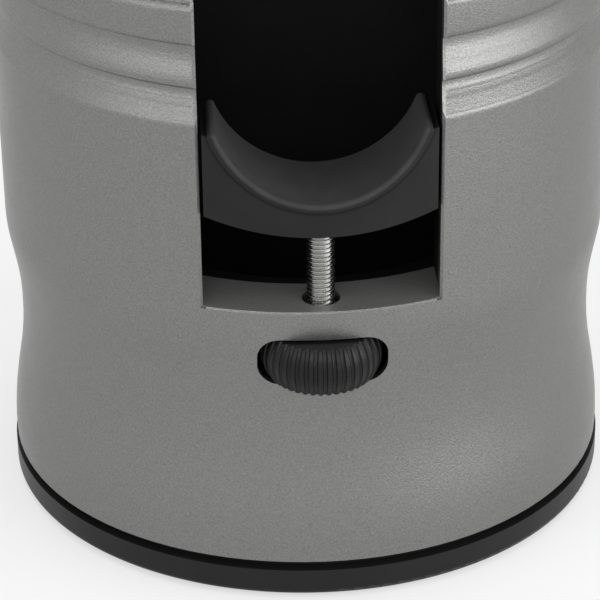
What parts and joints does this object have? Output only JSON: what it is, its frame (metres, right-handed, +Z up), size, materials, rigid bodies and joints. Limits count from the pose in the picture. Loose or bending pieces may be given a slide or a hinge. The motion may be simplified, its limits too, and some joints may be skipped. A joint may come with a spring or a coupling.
{
  "type": "electric coffee tamper",
  "caption": "Round metal coffee tamping machine with a spout slot in front, a rubber-lined neck rest on a thumb wheel jack and a motor-driven press in the head.",
  "frame": {"origin": "on the floor under the axis of the round housing", "axes": "+Z up along the axis of the housing, -Y out of the front slot, +X to the right seen from behind the slot"},
  "size_m": [0.14, 0.1448, 0.3132],
  "materials": {
    "shell_metal": "bead-blasted satin",
    "base_black": "satin",
    "rubber_black": "matte",
    "plastic_black": "satin",
    "screw_steel": "turned",
    "polished_steel": "polished",
    "bronze": "turned",
    "cast_iron": "painted",
    "plate_metal": "milled",
    "gear_steel": "machined",
    "board_green": "solder mask",
    "component_black": "moulded",
    "lens_smoked": "gloss"
  },
  "bodies": {
    "housing": {"base_ring": "base_black", "base_screws": "screw_steel", "board_components": "component_black", "board_screws": "screw_steel", "bottom_plate": "plate_metal", "bracket_screws": "screw_steel", "control_board": "board_green", "cover_gasket": "rubber_black", "cover_posts": "polished_steel", "cover_screws": "screw_steel", "cup_sensor": "plastic_black", "display_board": "board_green", "display_lens": "lens_smoked", "display_panel": "component_black", "drive_bushes": "bronze", "drive_motor": "gear_steel", "fork_pads": "rubber_black", "frame_base": "cast_iron", "guide_spacers": "polished_steel", "holder_fork": "plate_metal", "inlet_pin": "screw_steel", "key_switches": "component_black", "liner_screws": "screw_steel", "lower_spacers": "polished_steel", "motor_gearbox": "gear_steel", "motor_plate": "plate_metal", "motor_screws": "screw_steel", "outer_shell": "shell_metal", "plate_spacers": "polished_steel", "power_inlet": "plastic_black", "rear_panel": "plastic_black", "rubber_feet": "rubber_black", "switch_body": "plastic_black", "thrust_washers": "bronze", "tie_nuts": "screw_steel", "tie_rods": "screw_steel", "top_cover": "plastic_black", "top_plate": "plate_metal", "well_liner": "plastic_black", "wheel_bracket": "plate_metal"},
    "wheel": {"thumb_wheel": "plastic_black", "wheel_nut": "bronze"},
    "saddle_carriage": {"saddle": "plastic_black", "saddle_pad": "rubber_black", "jack_screw": "screw_steel"},
    "drive": {"drive_gear": "gear_steel", "drive_nut": "bronze", "thrust_collar": "plate_metal"},
    "pinion": {"motor_pinion": "gear_steel", "motor_shaft": "screw_steel"},
    "press": {"ram_screw": "screw_steel", "crosshead": "plate_metal", "guide_bushes": "bronze", "tamp_head": "polished_steel"},
    "minus_key": {"minus_button": "plastic_black"},
    "plus_key": {"plus_button": "plastic_black"},
    "clean_key": {"clean_button": "plastic_black"},
    "rocker": {"power_rocker": "plastic_black"}
  },
  "joints": [
    {"name": "thumb_wheel_turn", "type": "hinge", "parent": "housing", "child": "wheel", "pos_m": [0, -0.0618, 0.058], "axis": [0, 0, -1], "range_deg": [-2890, 10810]},
    {"name": "saddle_lift", "type": "slide", "parent": "housing", "child": "saddle_carriage", "axis": [0, 0, 1], "range_m": [-0.008, 0.03]},
    {"name": "drive_gear_spin", "type": "hinge", "parent": "housing", "child": "drive", "pos_m": [0, -0.009, 0.237], "axis": [0, 0, 1], "range_deg": [-10, 2530]},
    {"name": "motor_pinion_spin", "type": "hinge", "parent": "housing", "child": "pinion", "pos_m": [0, 0.0231, 0.237], "axis": [0, 0, 1], "range_deg": [-7590, 30]},
    {"name": "ram_slide", "type": "slide", "parent": "housing", "child": "press", "axis": [0, 0, -1], "range_m": [0, 0.028]},
    {"name": "minus_press", "type": "slide", "parent": "housing", "child": "minus_key", "axis": [0, 0, -1], "range_m": [0, 0.0006], "stiffness_N_per_m": 800, "springref_m": -0.001},
    {"name": "plus_press", "type": "slide", "parent": "housing", "child": "plus_key", "axis": [0, 0, -1], "range_m": [0, 0.0006], "stiffness_N_per_m": 800, "springref_m": -0.001},
    {"name": "clean_press", "type": "slide", "parent": "housing", "child": "clean_key", "axis": [0, 0, -1], "range_m": [0, 0.0006], "stiffness_N_per_m": 800, "springref_m": -0.001},
    {"name": "power_rocker_tilt", "type": "hinge", "parent": "housing", "child": "rocker", "pos_m": [0, 0.0655, 0.096], "axis": [1, 0, 0], "range_deg": [0, 16]}
  ],
  "couplings": [
    {"joint": "thumb_wheel_turn", "follows": "saddle_lift", "rad_per_m": 6283.2},
    {"joint": "motor_pinion_spin", "follows": "ram_slide", "rad_per_m": -4712.4},
    {"joint": "drive_gear_spin", "follows": "ram_slide", "rad_per_m": 1570.8}
  ]
}
